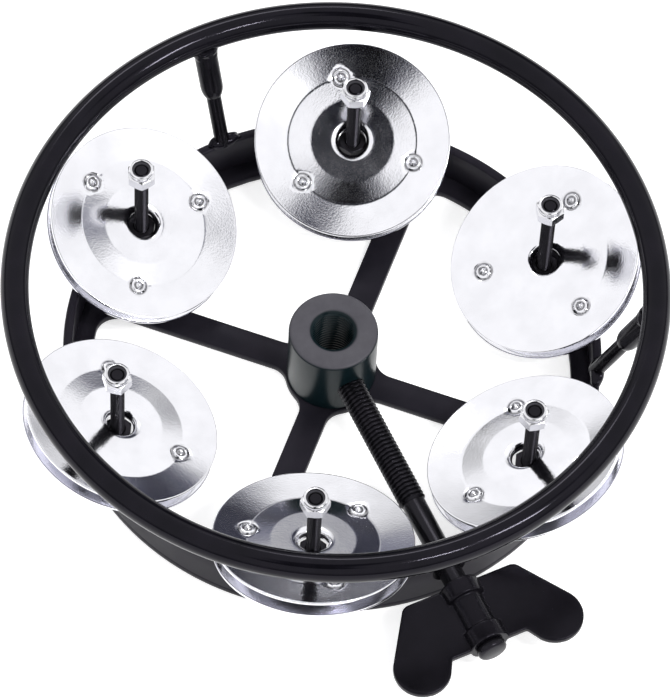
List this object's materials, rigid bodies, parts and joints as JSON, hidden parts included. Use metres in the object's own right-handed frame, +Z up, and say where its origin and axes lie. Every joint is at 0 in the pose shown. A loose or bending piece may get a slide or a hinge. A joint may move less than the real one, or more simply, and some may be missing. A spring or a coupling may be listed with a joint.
{
  "type": "hi-hat tambourine",
  "caption": "Round black tambourine for a hi-hat stand: leaning jingle pairs on upright bolts, a cross-armed base, a rod guard ring and a wing screw that clamps the hub.",
  "frame": {"origin": "on the rod bore's axis, at the underside of the base plate", "axes": "+Z up along the rod bore, -Y towards the clamp screw's wing, +X completes a right-handed frame and passes through one jingle bolt"},
  "size_m": [0.14, 0.1521, 0.041],
  "materials": {
    "base_paint": "satin black powder coat",
    "hub_steel": "blackened steel with a satin grey machined top",
    "ring_paint": "gloss black",
    "post_paint": "gloss black",
    "bolt_steel": "black oxide thread",
    "black_nut": "black oxide",
    "zinc_nut": "bright zinc plate",
    "nylon": "dark nylon",
    "jingle_metal": "bright nickel plate, faintly mottled",
    "screw_black": "black oxide",
    "wing_paint": "satin black"
  },
  "bodies": {
    "frame": {"base_plate": "base_paint", "base_hoop": "base_paint", "hub": "hub_steel", "guard_ring": "ring_paint", "post_rod_1": "post_paint", "post_rod_2": "post_paint", "post_rod_3": "post_paint", "post_sleeve_1": "post_paint", "post_sleeve_2": "post_paint", "post_sleeve_3": "post_paint", "jingle_bolt_1": "bolt_steel", "jingle_bolt_2": "bolt_steel", "jingle_bolt_3": "bolt_steel", "jingle_bolt_4": "bolt_steel", "jingle_bolt_5": "bolt_steel", "jingle_bolt_6": "bolt_steel", "stop_nut_1": "black_nut", "stop_nut_2": "black_nut", "stop_nut_3": "black_nut", "stop_nut_4": "black_nut", "stop_nut_5": "black_nut", "stop_nut_6": "black_nut", "lock_nut_1": "zinc_nut", "lock_nut_2": "zinc_nut", "lock_nut_3": "zinc_nut", "lock_nut_4": "zinc_nut", "lock_nut_5": "zinc_nut", "lock_nut_6": "zinc_nut", "clamp_nuts": "black_nut", "nylon_inserts": "nylon"},
    "jingle_lower_1": {"jingle_lower_1": "jingle_metal"},
    "jingle_lower_2": {"jingle_lower_2": "jingle_metal"},
    "jingle_lower_3": {"jingle_lower_3": "jingle_metal"},
    "jingle_lower_4": {"jingle_lower_4": "jingle_metal"},
    "jingle_lower_5": {"jingle_lower_5": "jingle_metal"},
    "jingle_lower_6": {"jingle_lower_6": "jingle_metal"},
    "jingle_upper_1": {"jingle_upper_1": "jingle_metal"},
    "jingle_upper_2": {"jingle_upper_2": "jingle_metal"},
    "jingle_upper_3": {"jingle_upper_3": "jingle_metal"},
    "jingle_upper_4": {"jingle_upper_4": "jingle_metal"},
    "jingle_upper_5": {"jingle_upper_5": "jingle_metal"},
    "jingle_upper_6": {"jingle_upper_6": "jingle_metal"},
    "clamp_screw": {"clamp_screw": "screw_black", "wing": "wing_paint"}
  },
  "joints": [
    {"name": "lower_slide_1", "type": "slide", "parent": "frame", "child": "jingle_lower_1", "axis": [0, 0, 1], "range_m": [0, 0.0035]},
    {"name": "lower_slide_2", "type": "slide", "parent": "frame", "child": "jingle_lower_2", "axis": [0, 0, 1], "range_m": [0, 0.0035]},
    {"name": "lower_slide_3", "type": "slide", "parent": "frame", "child": "jingle_lower_3", "axis": [0, 0, 1], "range_m": [0, 0.0035]},
    {"name": "lower_slide_4", "type": "slide", "parent": "frame", "child": "jingle_lower_4", "axis": [0, 0, 1], "range_m": [0, 0.0035]},
    {"name": "lower_slide_5", "type": "slide", "parent": "frame", "child": "jingle_lower_5", "axis": [0, 0, 1], "range_m": [0, 0.0035]},
    {"name": "lower_slide_6", "type": "slide", "parent": "frame", "child": "jingle_lower_6", "axis": [0, 0, 1], "range_m": [0, 0.0035]},
    {"name": "upper_slide_1", "type": "slide", "parent": "jingle_lower_1", "child": "jingle_upper_1", "axis": [0, 0, 1], "range_m": [0, 0.0045]},
    {"name": "upper_slide_2", "type": "slide", "parent": "jingle_lower_2", "child": "jingle_upper_2", "axis": [0, 0, 1], "range_m": [0, 0.0045]},
    {"name": "upper_slide_3", "type": "slide", "parent": "jingle_lower_3", "child": "jingle_upper_3", "axis": [0, 0, 1], "range_m": [0, 0.0045]},
    {"name": "upper_slide_4", "type": "slide", "parent": "jingle_lower_4", "child": "jingle_upper_4", "axis": [0, 0, 1], "range_m": [0, 0.0045]},
    {"name": "upper_slide_5", "type": "slide", "parent": "jingle_lower_5", "child": "jingle_upper_5", "axis": [0, 0, 1], "range_m": [0, 0.0045]},
    {"name": "upper_slide_6", "type": "slide", "parent": "jingle_lower_6", "child": "jingle_upper_6", "axis": [0, 0, 1], "range_m": [0, 0.0045]},
    {"name": "wing_turn", "type": "hinge", "parent": "frame", "child": "clamp_screw", "pos_m": [0, -0.03, 0.0095], "axis": [0, 1, 0], "range_deg": [-720, 900]}
  ]
}
